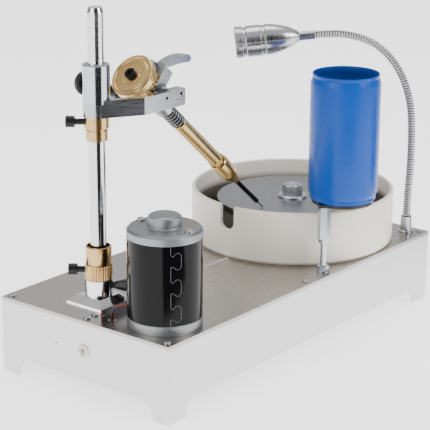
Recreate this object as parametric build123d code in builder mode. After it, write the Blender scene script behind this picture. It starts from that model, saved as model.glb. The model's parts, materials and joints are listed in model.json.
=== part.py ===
"""Faceting machine: a motor-driven lap in a splash bowl, with a mast-held quill, a drip tank and a lamp.

Frame: X runs along the long side of the base, Y to the back, Z up. The origin is on the floor, under the
middle of the whole machine. Places on the deck are given from its left front corner.
"""

from build123d import *
import os
from math import asin, cos, degrees, hypot, radians, sin, sqrt, tan

# ---------------------------------------------------------------- driving dimensions, in millimetres
base_length = 410.0
base_depth = 194.0
deck = 71.0                     # height of the top plate's upper face
plate_thickness = 3.0
panel_thickness = 4.0
arch_height = 16.0
arch_radius = 15.5
long_side_foot = 22.0           # width of the foot left at each end of a long panel
end_foot = 17.0
screw_inset = 7.0
bezel_thickness = 2.0

bowl_radius = 100.0
bowl_height = 52.2
bowl_wall = 4.0
lap_radius = 75.0
lap_top = 40.2                  # above the deck
motor_radius = 32.5
rod_radius = 7.1
can_radius = 32.5
can_base = 65.9                 # above the deck
can_top = 185.4
pivot_height = 180.0            # quill pivot above the deck
pivot_reach = 68.6              # quill pivot from the mast
tip_length = 213.0              # stone pin's tip from the pivot, along the quill
stone_gap = 0.5                 # between the pin's tip and the lap, at rest

# places on the deck, from its left front corner
mast_place = (32.0, 105.5)
motor_place = (40.7, 37.9)
bowl_place = (312.6, 100.5)
post_place = (239.8, 11.9)
can_place = (266.0, 10.0)
lamp_place = (394.4, 17.2)
lead_place = (18.6, 78.2)
inlet_place = (0.0, 95.4)

run_gap = 0.05                  # radial clearance of a shaft or pin that turns in a hole
set_gap = 0.02                  # clearance of pieces that are fastened to each other

# ---------------------------------------------------------------- where things stand
left = bezel_thickness - (bezel_thickness + bowl_place[0] + bowl_radius) / 2
front = -((bowl_place[1] + bowl_radius) + (can_place[1] - can_radius)) / 2
base_middle = (left + base_length / 2, front + base_depth / 2)
panel_height = deck - plate_thickness


def on_deck(place):
    """Row-frame X and Y of a place given from the deck's left front corner."""
    return (left + place[0], front + place[1])


def upright(place, height=0.0):
    """Level plane over a place on the deck, height above the deck's face."""
    x, y = on_deck(place)
    return Plane(origin=(x, y, deck + height), x_dir=(1, 0, 0), z_dir=(0, 0, 1))


def facing(plane, height, angle):
    """Plane on the axis of plane, looking outwards at an angle round it."""
    out = plane.x_dir * cos(radians(angle)) + plane.y_dir * sin(radians(angle))
    return Plane(origin=plane.origin + plane.z_dir * height, x_dir=plane.z_dir, z_dir=out)


def disc(plane, start, end, radius, bore=0.0, mode=Mode.ADD):
    """Round plate or tube on the plane's axis, from start to end along it."""
    with BuildSketch(plane.offset(start)) as outline:
        Circle(radius)
        if bore > 0:
            Circle(bore, mode=Mode.SUBTRACT)
    extrude(outline.sketch, amount=end - start, mode=mode)


def turned(plane, profile, mode=Mode.ADD):
    """Solid of revolution on the plane's axis, from (radius, height) points."""
    half_plane = Plane(origin=plane.origin, x_dir=plane.x_dir, z_dir=plane.y_dir * -1)
    with BuildSketch(half_plane) as outline:
        with BuildLine():
            Polyline(*profile, close=True)
        make_face()
    revolve(outline.sketch, axis=Axis(plane.origin, plane.z_dir), mode=mode)


def hexagon(plane, start, end, across_flats, bore=0.0, mode=Mode.ADD):
    """Hexagonal prism on the plane's axis."""
    with BuildSketch(plane.offset(start)) as outline:
        RegularPolygon(across_flats / 2, 6, major_radius=False)
        if bore > 0:
            Circle(bore, mode=Mode.SUBTRACT)
    extrude(outline.sketch, amount=end - start, mode=mode)


def block(plane, start, end, width, depth, mode=Mode.ADD):
    """Rectangular block centred on the plane's axis."""
    with BuildSketch(plane.offset(start)) as outline:
        Rectangle(width, depth)
    extrude(outline.sketch, amount=end - start, mode=mode)


def cap_screw(plane, tip, seat, end, shank, head, socket):
    """Hexagon-socket screw on the plane's axis, its head from seat to end."""
    disc(plane, tip, seat, shank)
    disc(plane, seat, end, head)
    hexagon(plane, end - 0.55 * (end - seat), end, socket, mode=Mode.SUBTRACT)


def pan_screw(plane, tip, seat, shank, head, height):
    """Screw with a domed, slotted head that sits on seat."""
    side = 0.55 * height
    turned(plane, [(0, tip), (shank, tip), (shank, seat), (head, seat), (head, seat + side),
                   (0.7 * head, seat + height), (0, seat + height)])
    block(plane, seat + 0.5 * height, seat + height, 2 * head, 0.8, mode=Mode.SUBTRACT)


os.makedirs("parts", exist_ok=True)
nodes = []


def save(builder, name):
    """Label the finished piece and write it as parts/name.step."""
    builder.part.label = name
    export_step(builder.part, f"parts/{name}.step")
    nodes.append(name)


# ================================================================ base
edge_screws = [
    (screw_inset, screw_inset),
    (base_length - screw_inset, screw_inset),
    (screw_inset, base_depth - screw_inset),
    (base_length - screw_inset, base_depth - screw_inset),
    (screw_inset, base_depth / 2),
    (base_length / 2, screw_inset),
    (base_length / 2, base_depth - screw_inset),
]
screw_shank = 1.45
screw_hole = 1.5
slot_width = 5.2
slot_start = 14.0
slot_end = 214.0
housing_radius = 18.0
housing_bolt_circle = 24.0
stud_radius = 2.95
motor_bolt_offset = 20.0
lead_hole_radius = 4.0

with BuildPart() as top_plate:
    with BuildSketch(Plane.XY.offset(panel_height)):
        with Locations(base_middle):
            Rectangle(base_length, base_depth)
        with Locations(on_deck(((slot_start + slot_end) / 2, mast_place[1]))):
            SlotOverall(slot_end - slot_start, slot_width, mode=Mode.SUBTRACT)
        with Locations(*[on_deck(place) for place in edge_screws]):
            Circle(screw_hole, mode=Mode.SUBTRACT)
        with Locations(on_deck(motor_place)):
            Circle(7, mode=Mode.SUBTRACT)
            with Locations((-motor_bolt_offset, 0), (motor_bolt_offset, 0)):
                Circle(2.1, mode=Mode.SUBTRACT)
        with Locations(on_deck(bowl_place)):
            Circle(housing_radius + set_gap, mode=Mode.SUBTRACT)
            with PolarLocations(housing_bolt_circle, 4, start_angle=45):
                Circle(2.1, mode=Mode.SUBTRACT)
        with Locations(on_deck(post_place), on_deck(lamp_place)):
            Circle(stud_radius + run_gap, mode=Mode.SUBTRACT)
        with Locations(on_deck(lead_place)):
            Circle(lead_hole_radius, mode=Mode.SUBTRACT)
    extrude(amount=plate_thickness)
save(top_plate, "top_plate")


def arched_panel(plane, length, foot):
    """Upright panel with an arch cut out of its lower edge between two feet."""
    half = length / 2
    gap = half - foot
    corners = [(-half, 0), (-gap, 0), (-gap, arch_height), (gap, arch_height), (gap, 0),
               (half, 0), (half, panel_height), (-half, panel_height)]
    radii = [0, 0, arch_radius, arch_radius, 0, 0, 0, 0]
    with BuildSketch(plane) as outline:
        with BuildLine():
            FilletPolyline(*corners, radius=radii, close=True)
        make_face()
    extrude(outline.sketch, amount=panel_thickness)


long_length = base_length - 2 * panel_thickness
for panel_name, panel_y in (("front_panel", front + panel_thickness), ("rear_panel", front + base_depth)):
    with BuildPart() as long_panel:
        arched_panel(
            Plane(origin=(base_middle[0], panel_y, 0), x_dir=(1, 0, 0), z_dir=(0, -1, 0)),
            long_length,
            long_side_foot - panel_thickness,
        )
    save(long_panel, panel_name)

inlet_height = 43.4 - deck
inlet_x, inlet_y = on_deck(inlet_place)
inlet_axis = Plane(origin=(inlet_x, inlet_y, deck + inlet_height), x_dir=(0, 1, 0), z_dir=(-1, 0, 0))
barrel_radius = 4.4
pilot_hole_offset = 32.4

end_panels = (("left_end_panel", left), ("right_end_panel", left + base_length - panel_thickness))
for panel_name, panel_x in end_panels:
    with BuildPart() as end_panel:
        arched_panel(
            Plane(origin=(panel_x, base_middle[1], 0), x_dir=(0, 1, 0), z_dir=(1, 0, 0)),
            base_depth,
            end_foot,
        )
        if panel_x == left:
            disc(inlet_axis, -panel_thickness, 0, barrel_radius + set_gap, mode=Mode.SUBTRACT)
            with BuildSketch(inlet_axis) as pilot:
                with Locations((pilot_hole_offset, 0)):
                    Circle(1)
            extrude(pilot.sketch, amount=-panel_thickness, mode=Mode.SUBTRACT)
    save(end_panel, panel_name)

# blocks in the corners and behind the middle of each edge join the panels to the plate
block_size = 7.0
block_inset = panel_thickness + block_size / 2
corner_block_foot = 18.0
edge_block_foot = 56.0
block_hole_depth = 14.0
with BuildPart() as joining_blocks:
    for place in edge_screws:
        x = min(max(place[0], block_inset), base_length - block_inset)
        y = min(max(place[1], block_inset), base_depth - block_inset)
        in_corner = place[0] != base_length / 2 and place[1] != base_depth / 2
        foot = corner_block_foot if in_corner else edge_block_foot
        block(upright((x, y)), foot - deck, -plate_thickness, block_size, block_size)
        disc(upright(place), -block_hole_depth, -plate_thickness, screw_hole, mode=Mode.SUBTRACT)
save(joining_blocks, "joining_blocks")

with BuildPart() as plate_screws:
    for place in edge_screws:
        pan_screw(upright(place), 1 - block_hole_depth, 0, screw_shank, 3.4, 2.0)
save(plate_screws, "plate_screws")

# ---------------------------------------------------------------- power inlet in the left panel
barrel_length = 14.0
socket_depth = 6.0
pin_circle = 1.7
with BuildPart() as inlet_socket:
    turned(inlet_axis, [(0, -barrel_length), (barrel_radius, -barrel_length), (barrel_radius, 0), (6.2, 0),
                        (6.2, 1.2), (5.4, bezel_thickness), (3.9, bezel_thickness), (3.3, 0.8),
                        (3.3, -socket_depth), (0, -socket_depth)])
    with BuildSketch(inlet_axis.offset(-socket_depth)) as pin_spots:
        with PolarLocations(pin_circle, 3, start_angle=90):
            Circle(0.6)
    extrude(pin_spots.sketch, amount=socket_depth - 1)
save(inlet_socket, "inlet_socket")

# ================================================================ motor
motor = upright(motor_place)
lower_cap_top = 9.1
wrap_top = 79.1
upper_cap_top = 87.3
motor_boss_top = 97.8
shell_inner = 29.5
motor_shaft_radius = 4.0
tie_bolt_circle = 26.3
magnet_span = 100.0
magnet_inner = 23.6
magnet_foot = 24.0
magnet_height = 52.0
commutator_foot = 11.0
commutator_length = 11.0
commutator_radius = 8.9
armature_foot = 27.0
armature_length = 45.0
lead_height = 13.5              # where the leads leave the motor
lead_radius = 1.1
lead_spread = 1.3               # each lead's distance from the middle of the pair

with BuildPart() as motor_lower_cap:
    bore = motor_shaft_radius + run_gap
    turned(motor, [(bore, 0), (motor_radius, 0), (motor_radius, 8.3), (motor_radius - 0.8, lower_cap_top),
                   (bore, lower_cap_top)])
    with BuildSketch(motor) as bolt_holes:
        with Locations((-motor_bolt_offset, 0), (motor_bolt_offset, 0)):
            Circle(2)
        with Locations((0, -tie_bolt_circle), (0, tie_bolt_circle)):
            Circle(2)
    extrude(bolt_holes.sketch, amount=lower_cap_top, mode=Mode.SUBTRACT)
save(motor_lower_cap, "motor_lower_cap")

# the leads leave the motor towards their hole in the deck
to_lead_hole = Vector(lead_place[0] - motor_place[0], lead_place[1] - motor_place[1], 0)
lead_angle = Vector(1, 0, 0).get_angle(to_lead_hole)
lead_exit = facing(motor, lead_height, lead_angle)


def lead_holes(start, end):
    """Cut the pair of lead holes through a wall, between two distances from the motor's axis."""
    with BuildSketch(lead_exit.offset(start)) as holes:
        with Locations((0, -lead_spread), (0, lead_spread)):
            Circle(lead_radius + 0.05)
    extrude(holes.sketch, amount=end - start, mode=Mode.SUBTRACT)


with BuildPart() as motor_shell:
    disc(motor, lower_cap_top, wrap_top, motor_radius - 0.05, bore=shell_inner)
    lead_holes(shell_inner - 2, motor_radius + 1)
    # a magnet is bonded to the wall on each side of the leads
    for middle in (lead_angle - 90, lead_angle + 90):
        first = radians(middle - magnet_span / 2)
        last = radians(middle + magnet_span / 2)
        far = 2 * motor_radius
        with BuildSketch(motor.offset(magnet_foot)) as magnet:
            with BuildLine():
                Polyline((0, 0), (far * cos(first), far * sin(first)), (far * cos(last), far * sin(last)),
                         close=True)
            make_face()
            Circle(shell_inner + 0.5, mode=Mode.INTERSECT)
            Circle(magnet_inner, mode=Mode.SUBTRACT)
        extrude(magnet.sketch, amount=magnet_height)
save(motor_shell, "motor_shell")

with BuildPart() as motor_upper_cap:
    turned(motor, [(bore, wrap_top), (motor_radius, wrap_top), (motor_radius, 85.1), (30.3, upper_cap_top),
                   (15.4, upper_cap_top), (14.2, upper_cap_top + 1.2), (14.2, 96.4), (12.2, motor_boss_top),
                   (0, motor_boss_top), (0, 94.5), (bore, 94.5)])
    with BuildSketch(motor.offset(wrap_top)) as tie_holes:
        with Locations((0, -tie_bolt_circle), (0, tie_bolt_circle)):
            Circle(2)
    extrude(tie_holes.sketch, amount=upper_cap_top - wrap_top, mode=Mode.SUBTRACT)
save(motor_upper_cap, "motor_upper_cap")

with BuildPart() as motor_tie_bolts:
    for side in (-1, 1):
        pan_screw(upright((motor_place[0], motor_place[1] + side * tie_bolt_circle)),
                  2, upper_cap_top, 2 - set_gap, 3.6, 2.4)
save(motor_tie_bolts, "motor_tie_bolts")

shaft_foot = -46.0
armature_slots = 9
with BuildPart() as motor_rotor:
    disc(motor, shaft_foot, 93.5, motor_shaft_radius)
    disc(motor, commutator_foot, commutator_foot + commutator_length, commutator_radius)
    with BuildSketch(motor.offset(armature_foot)) as lamination:
        Circle(22.8)
        with PolarLocations(18, armature_slots):
            Rectangle(10, 4.6, mode=Mode.SUBTRACT)
    extrude(lamination.sketch, amount=armature_length)
save(motor_rotor, "motor_rotor")

# ================================================================ belt drive under the deck
spindle_axis = upright(bowl_place)
drive_height = -43.0
pulley_width = 14.0
flange_width = 2.0
flange_lip = 2.4
motor_pulley_radius = 12.0
spindle_pulley_radius = 30.0
belt_thickness = 2.0
belt_width = 9.0
spindle_radius = 6.0


def pulley(plane, radius, bore):
    """Flat-belt pulley with a flange on each side of its groove."""
    low = drive_height
    high = drive_height + pulley_width
    rim = radius + flange_lip
    turned(plane, [(bore, low), (rim, low), (rim, low + flange_width), (radius, low + flange_width),
                   (radius, high - flange_width), (rim, high - flange_width), (rim, high), (bore, high)])


with BuildPart() as motor_pulley:
    pulley(motor, motor_pulley_radius, motor_shaft_radius + set_gap)
save(motor_pulley, "motor_pulley")

with BuildPart() as spindle_pulley:
    pulley(spindle_axis, spindle_pulley_radius, spindle_radius + set_gap)
save(spindle_pulley, "spindle_pulley")

with BuildPart() as drive_belt:
    belt_start = drive_height + (pulley_width - belt_width) / 2
    for growth, belt_mode in ((0.1 + belt_thickness, Mode.ADD), (0.1, Mode.SUBTRACT)):
        with BuildSketch(Plane.XY.offset(deck + belt_start)) as loop:
            with Locations(on_deck(motor_place)):
                Circle(motor_pulley_radius + growth)
            with Locations(on_deck(bowl_place)):
                Circle(spindle_pulley_radius + growth)
            make_hull()
        extrude(loop.sketch, amount=belt_width, mode=belt_mode)
save(drive_belt, "drive_belt")

# ---------------------------------------------------------------- spindle and its bearings
housing_foot = -25.0
housing_top = 15.0
spindle_bearing_radius = 14.0
spindle_bearing_width = 8.0
flange_radius = 30.0
flange_thickness = 5.0
lower_pocket = housing_foot + spindle_bearing_width + 1
upper_pocket = housing_top - spindle_bearing_width - 1
with BuildPart() as bearing_housing:
    disc(spindle_axis, housing_foot, housing_top, housing_radius, bore=9)
    disc(spindle_axis, -plate_thickness - flange_thickness, -plate_thickness, flange_radius, bore=9)
    disc(spindle_axis, housing_foot, lower_pocket, spindle_bearing_radius, mode=Mode.SUBTRACT)
    disc(spindle_axis, upper_pocket, housing_top, spindle_bearing_radius, mode=Mode.SUBTRACT)
    with BuildSketch(spindle_axis.offset(-plate_thickness)) as bolt_holes:
        with PolarLocations(housing_bolt_circle, 4, start_angle=45):
            Circle(2.1)
    extrude(bolt_holes.sketch, amount=-flange_thickness, mode=Mode.SUBTRACT)
save(bearing_housing, "bearing_housing")

with BuildPart() as spindle_bearings:
    for end in (lower_pocket, upper_pocket + spindle_bearing_width):
        disc(spindle_axis, end - spindle_bearing_width, end, spindle_bearing_radius - set_gap,
             bore=spindle_radius + run_gap)
save(spindle_bearings, "spindle_bearings")

# equal screws from below hold the motor and the bearing housing to the deck
with BuildPart() as deck_screws:
    housing_seat = -plate_thickness - flange_thickness
    corner = housing_bolt_circle / sqrt(2)
    screw_spots = []
    for side in (-1, 1):
        screw_spots.append((motor_place[0] + side * motor_bolt_offset, motor_place[1], -plate_thickness))
        screw_spots.append((bowl_place[0] + side * corner, bowl_place[1] + corner, housing_seat))
        screw_spots.append((bowl_place[0] + side * corner, bowl_place[1] - corner, housing_seat))
    for x, y, seat in screw_spots:
        disc(upright((x, y)), seat, seat + 7.8, 2)
        disc(upright((x, y)), seat - 3, seat, 3.5)
save(deck_screws, "deck_screws")

lap_thickness = 3.0
platen_thickness = 6.0
platen_top = lap_top - lap_thickness
platen_foot = platen_top - platen_thickness
hub_foot = housing_top + 1.5
lap_washer_thickness = 2.6
lap_nut_height = 9.6
lap_nut_base = lap_top + lap_washer_thickness
spindle_top = lap_nut_base + lap_nut_height + 1.4
with BuildPart() as spindle:
    disc(spindle_axis, shaft_foot, spindle_top - 1.2, spindle_radius)
    disc(spindle_axis, hub_foot, platen_foot, 16)
    disc(spindle_axis, platen_foot, platen_top, 71)
    turned(spindle_axis, [(0, spindle_top - 1.2), (spindle_radius, spindle_top - 1.2),
                          (spindle_radius - 1.2, spindle_top), (0, spindle_top)])
save(spindle, "spindle")

with BuildPart() as lap_disc:
    disc(spindle_axis, platen_top, lap_top, lap_radius, bore=spindle_radius + set_gap)
    chamfer(lap_disc.edges().filter_by(GeomType.CIRCLE).sort_by(SortBy.RADIUS)[-2:], 0.4)
save(lap_disc, "lap_disc")

with BuildPart() as lap_washer:
    turned(spindle_axis, [(spindle_radius + set_gap, lap_top), (14.6, lap_top), (14.6, lap_top + 1.6),
                          (13.4, lap_nut_base), (spindle_radius + set_gap, lap_nut_base)])
save(lap_washer, "lap_washer")

lap_nut_flats = 17.4
with BuildPart() as lap_nut:
    nut_face = lap_nut_base + lap_nut_height
    nut_corner = lap_nut_flats / sqrt(3)
    hexagon(spindle_axis, lap_nut_base, nut_face, lap_nut_flats, bore=spindle_radius + set_gap)
    turned(spindle_axis, [(nut_corner + 2, lap_nut_base), (nut_corner + 2, nut_face), (nut_corner - 1.6, nut_face),
                          (nut_corner + 0.1, nut_face - 1.1), (nut_corner + 0.1, lap_nut_base)],
           mode=Mode.SUBTRACT)
save(lap_nut, "lap_nut")

# ---------------------------------------------------------------- splash bowl with its quill notch
collar_inner = 19.0
collar_outer = 22.0
collar_top = 25.0
floor_thickness = 4.0
notch_width = 16.7
notch_floor = 28.5
notch_radius = notch_width / 2
with BuildPart() as splash_bowl:
    inner = bowl_radius - bowl_wall
    turned(spindle_axis, [
        (collar_inner, 0), (bowl_radius - 3, 0), (bowl_radius, 3), (bowl_radius, bowl_height - 1.5),
        (bowl_radius - 1.5, bowl_height), (inner + 1.0, bowl_height), (inner, bowl_height - 1.0),
        (inner, floor_thickness + 4), (inner - 4, floor_thickness), (collar_outer, floor_thickness),
        (collar_outer, collar_top), (collar_inner, collar_top)])
    notch_plane = Plane(origin=(on_deck(bowl_place)[0] - bowl_radius + 15, on_deck(mast_place)[1], deck),
                        x_dir=(0, -1, 0), z_dir=(-1, 0, 0))
    with BuildSketch(notch_plane) as notch:
        with Locations((0, notch_floor + notch_radius)):
            Circle(notch_radius)
        with Locations((0, notch_floor + notch_radius + 20)):
            Rectangle(notch_width, 40)
    extrude(notch.sketch, amount=20, mode=Mode.SUBTRACT)
save(splash_bowl, "splash_bowl")

# ================================================================ mast
mast = upright(mast_place)
foot_size = 40.0
foot_band = 8.5
foot_top = 14.2
foot_top_size = 27.0
foot_bore_start = 8.0
boss_radius = 12.6
knob_height = 22.0
boss_top = 28.5
ring_top = 42.0
collar_cup_top = 58.5
rod_top = 266.0
slide_bore = rod_radius + run_gap
screw_direction = 128.0         # the collars' screws point to the back left
knob_direction = -52.0

with BuildPart() as mast_foot:
    block(mast, 0, foot_band, foot_size, foot_size)
    with BuildSketch(mast.offset(foot_band)) as lower_outline:
        Rectangle(foot_size, foot_size)
    with BuildSketch(mast.offset(foot_top)) as upper_outline:
        Rectangle(foot_top_size, foot_top_size)
    loft([lower_outline.sketch.face(), upper_outline.sketch.face()])
    disc(mast, foot_top, boss_top, boss_radius)
    disc(facing(mast, knob_height, knob_direction), 0, boss_radius + 1, 2.5 + run_gap, mode=Mode.SUBTRACT)
    disc(mast, foot_bore_start, boss_top, rod_radius + set_gap, mode=Mode.SUBTRACT)
    disc(mast, 0, foot_bore_start, 2.4 + set_gap, mode=Mode.SUBTRACT)
save(mast_foot, "mast_foot")

with BuildPart() as mast_rod:
    turned(mast, [(0, foot_bore_start), (rod_radius, foot_bore_start), (rod_radius, rod_top - 4.5),
                  (rod_radius - 1.6, rod_top), (0, rod_top)])
save(mast_rod, "mast_rod")

with BuildPart() as foot_bolt:
    disc(mast, -plate_thickness, foot_bore_start - 0.5, 2.4)
    disc(mast, -plate_thickness - 1.6, -plate_thickness, 9)
    hexagon(mast, -plate_thickness - 6, -plate_thickness - 1.6, 8)
save(foot_bolt, "foot_bolt")

with BuildPart() as mast_clamp_knob:
    knob_axis = facing(mast, knob_height, knob_direction)
    turned(knob_axis, [(0, 7.4), (2.5, 7.4), (2.5, 13.2), (3.2, 13.6), (6.4, 27.5), (5.4, 29.6), (0, 30.2)])
save(mast_clamp_knob, "mast_clamp_knob")

knurls = 44
ring_screw_height = 36.5
with BuildPart() as adjusting_ring:
    with BuildSketch(mast.offset(boss_top)) as knurled:
        Circle(11.9)
        Circle(slide_bore, mode=Mode.SUBTRACT)
        with PolarLocations(12.1, knurls):
            Rectangle(0.9, 0.9, rotation=45, mode=Mode.SUBTRACT)
    extrude(knurled.sketch, amount=ring_top - boss_top)
    turned(mast, [(slide_bore, ring_top), (10.6, ring_top), (10.6, ring_top + 0.7), (11.3, ring_top + 1.2),
                  (11.3, collar_cup_top - 0.6), (10.7, collar_cup_top), (9.9, collar_cup_top), (9.9, 50),
                  (slide_bore, 50)])
    disc(facing(mast, ring_screw_height, screw_direction), 0, 13, 2.7 + set_gap, mode=Mode.SUBTRACT)
save(adjusting_ring, "adjusting_ring")

with BuildPart() as ring_screw:
    cap_screw(facing(mast, ring_screw_height, screw_direction), 7.6, 18.5, 26.3, 2.7, 4.9, 5.0)
save(ring_screw, "ring_screw")

stop_foot = 152.3
stop_neck = 161.2
stop_step = 163.0
stop_top = 173.2
stop_screw_height = 168.1
with BuildPart() as stop_collar:
    turned(mast, [(slide_bore, stop_foot), (8.9, stop_foot), (9.4, stop_foot + 0.5), (9.4, stop_neck),
                  (8.5, stop_neck), (8.5, stop_step), (10.2, stop_step), (10.7, stop_step + 0.5), (10.7, stop_top),
                  (slide_bore, stop_top)])
    disc(facing(mast, stop_screw_height, screw_direction), 0, 12, 2.7 + set_gap, mode=Mode.SUBTRACT)
save(stop_collar, "stop_collar")

with BuildPart() as stop_screw:
    cap_screw(facing(mast, stop_screw_height, screw_direction), 7.6, 18.5, 26.3, 2.7, 4.9, 5.0)
save(stop_screw, "stop_screw")

# ================================================================ head on the mast
tip_drop = pivot_height - lap_top - stone_gap
slope = asin(tip_drop / tip_length)
tip_reach = pivot_reach + tip_length * cos(slope)
stone_offset = 6.0              # how far in front of the mast the stone meets the lap
swing = -asin(stone_offset / tip_reach)
ahead = Vector(cos(swing), sin(swing), 0)
sideways = Vector(-sin(swing), cos(swing), 0)
head = Plane(origin=mast.origin, x_dir=ahead, z_dir=(0, 0, 1))

sleeve_radius = 11.75
sleeve_neck = 9.5
sleeve_step = 185.0
sleeve_top = 218.3
bracket_foot = stop_top + 0.1
bracket_top = 188.3
bracket_ring_top = sleeve_step - 0.1
arm_outer = 29.0
arm_inner = 23.0
arm_end = 81.0
lock_knob_height = 199.3
lock_knob_direction = 82.0
flange_rim = 10.6               # lip at the sleeve's foot that carries the bracket
flange_top = bracket_foot + 1.0

with BuildPart() as head_sleeve:
    turned(mast, [(slide_bore, bracket_foot), (flange_rim, bracket_foot), (flange_rim, flange_top),
                  (sleeve_neck, flange_top), (sleeve_neck, sleeve_step),
                  (sleeve_radius, sleeve_step), (sleeve_radius, sleeve_top - 1), (sleeve_radius - 1, sleeve_top),
                  (8.6, sleeve_top), (slide_bore, sleeve_top - 1.4)])
    disc(facing(mast, lock_knob_height, lock_knob_direction), 0, 13, 3 + run_gap, mode=Mode.SUBTRACT)
save(head_sleeve, "head_sleeve")

with BuildPart() as head_lock_knob:
    lock_axis = facing(mast, lock_knob_height, lock_knob_direction)
    turned(lock_axis, [(0, 7.5), (3, 7.5), (3, 12.4), (8.5, 12.4), (10.5, 13.2), (10.6, 15.2), (9.6, 17.6),
                       (7.2, 19.6), (4, 20.7), (0, 21)])
save(head_lock_knob, "head_lock_knob")

liner_outer = 20.5
liner_inner = 17.5
liner_start = 53.0
pivot_bore = 2.9
spacer_spots = [(57.0, 183.0), (75.6, 184.0)]
with BuildPart() as head_bracket:
    disc(head, bracket_foot, bracket_ring_top, sleeve_radius)
    for side in (-1, 1):
        with BuildSketch(head.offset(bracket_foot)) as arm:
            with BuildLine():
                Polyline((-5.9, side * 10.2), (28.5, side * arm_outer), (arm_end, side * arm_outer),
                         (arm_end, side * arm_inner), (30.1, side * arm_inner), (-3.0, side * 4.9), close=True)
            make_face()
        extrude(arm.sketch, amount=bracket_top - bracket_foot)
    disc(head, bracket_foot, bracket_top, sleeve_neck + run_gap, mode=Mode.SUBTRACT)
    disc(head, bracket_ring_top, bracket_top, sleeve_radius + 0.3, mode=Mode.SUBTRACT)
    disc(head, bracket_foot, flange_top + 0.05, flange_rim + 0.3, mode=Mode.SUBTRACT)
    crossways = Plane(origin=head.origin, x_dir=ahead, z_dir=sideways * -1)
    # an inner plate stands off each arm on two bosses
    for side in (-1, 1):
        with BuildSketch(crossways.offset(-side * liner_outer)) as liner:
            with Locations(((liner_start + arm_end + 2) / 2, (bracket_foot + bracket_top) / 2)):
                Rectangle(arm_end + 2 - liner_start, bracket_top - bracket_foot - 1)
        extrude(liner.sketch, amount=side * (liner_outer - liner_inner))
        with BuildSketch(crossways.offset(-side * (arm_inner + 1))) as bosses:
            with Locations(*spacer_spots):
                Circle(2.6)
        extrude(bosses.sketch, amount=side * (arm_inner + 1.5 - liner_outer))
    with BuildSketch(crossways) as arm_holes:
        with Locations((pivot_reach, pivot_height)):
            Circle(pivot_bore + set_gap)
        with Locations(*spacer_spots):
            Circle(1.5)
    extrude(arm_holes.sketch, amount=arm_outer + 1, both=True, mode=Mode.SUBTRACT)
save(head_bracket, "head_bracket")

pivot_tip = 9.4
with BuildPart() as pivot_screws:
    pivot = head.origin + ahead * pivot_reach + Vector(0, 0, pivot_height)
    for side in (-1, 1):
        pivot_axis = Plane(origin=pivot, x_dir=ahead, z_dir=sideways * side)
        disc(pivot_axis, pivot_tip, arm_outer, pivot_bore)
        block(pivot_axis, arm_outer - 1.2, arm_outer, 6, 0.9, mode=Mode.SUBTRACT)
save(pivot_screws, "pivot_screws")

# ================================================================ quill
along = ahead * cos(slope) - Vector(0, 0, sin(slope))
quill = Plane(origin=pivot, x_dir=sideways, z_dir=along)
profile_side = Plane(origin=pivot, x_dir=along, z_dir=sideways * -1)

shaft_radius = 5.0
carriage_back = -14.5
plate_front = -2.5
carriage_front = 8.0
housing_end = 24.0
carriage_half = 14.0
shield_radius = 26.7
trigger_slot = 4.2
trigger_pin = (-8.0, 21.0)
trigger_pin_radius = 1.5
with BuildPart() as quill_carriage:
    with BuildSketch(quill.offset(carriage_back)) as shield:
        Circle(shield_radius)
        Rectangle(2 * carriage_half, 2 * shield_radius, mode=Mode.INTERSECT)
        with Locations((0, -shield_radius - 2)):
            Rectangle(60, 30, mode=Mode.SUBTRACT)
    extrude(shield.sketch, amount=plate_front - carriage_back)
    block(quill, carriage_back, carriage_front, 2 * carriage_half, 18)
    disc(quill, carriage_front, housing_end, 9.2)
    disc(quill, carriage_back, housing_end, shaft_radius + run_gap, mode=Mode.SUBTRACT)
    with BuildSketch(quill.offset(carriage_back)) as slot:
        with Locations((0, 17.2 + 10)):
            Rectangle(2 * trigger_slot, 20)
    extrude(slot.sketch, amount=plate_front - carriage_back, mode=Mode.SUBTRACT)
    with BuildSketch(profile_side) as cross_holes:
        with Locations(trigger_pin):
            Circle(trigger_pin_radius + run_gap)
    extrude(cross_holes.sketch, amount=carriage_half, both=True, mode=Mode.SUBTRACT)
    for side in (-1, 1):
        pivot_axis = Plane(origin=pivot, x_dir=ahead, z_dir=sideways * side)
        disc(pivot_axis, pivot_tip - 0.3, carriage_half, pivot_bore + run_gap, mode=Mode.SUBTRACT)
save(quill_carriage, "quill_carriage")

wheel_face = -33.0
wheel_back = -27.2
wheel_radius = 20.5
gear_end = -17.0
gear_radius = 16.8
notch_depth = 2.0
notch_start = -23.4
notch_size = 2.1
notches = 24
screw_hole_radius = 3.0 + set_gap
index_screw_head = 3.4
shaft_end = 110.0
with BuildPart() as index_wheel:
    turned(quill, [(screw_hole_radius, wheel_back), (wheel_radius - 0.8, wheel_back),
                   (wheel_radius, wheel_back + 0.8), (wheel_radius, wheel_face + 1),
                   (wheel_radius - 1, wheel_face), (17.6, wheel_face),
                   (17.0, wheel_face + 0.9), (16.2, wheel_face + 0.9), (15.6, wheel_face + 0.3),
                   (9.4, wheel_face + 0.3), (9.0, wheel_face + 0.9), (8.4, wheel_face + 0.9), (8.0, wheel_face),
                   (screw_hole_radius, wheel_face)])
    disc(quill, wheel_back, gear_end, gear_radius, bore=shaft_radius + set_gap)
    with BuildSketch(quill.offset(notch_start)) as notch_ring:
        with PolarLocations(gear_radius - notch_depth / 2 + 0.5, notches, start_angle=90):
            Rectangle(notch_depth + 1, notch_size)
    extrude(notch_ring.sketch, amount=gear_end - notch_start, mode=Mode.SUBTRACT)
save(index_wheel, "index_wheel")

with BuildPart() as index_screw:
    into_wheel = Plane(origin=pivot, x_dir=sideways, z_dir=along * -1)
    cap_screw(into_wheel, 12, -wheel_face, -wheel_face + index_screw_head, 3.0, 5.0, 5.0)
save(index_screw, "index_screw")

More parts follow.
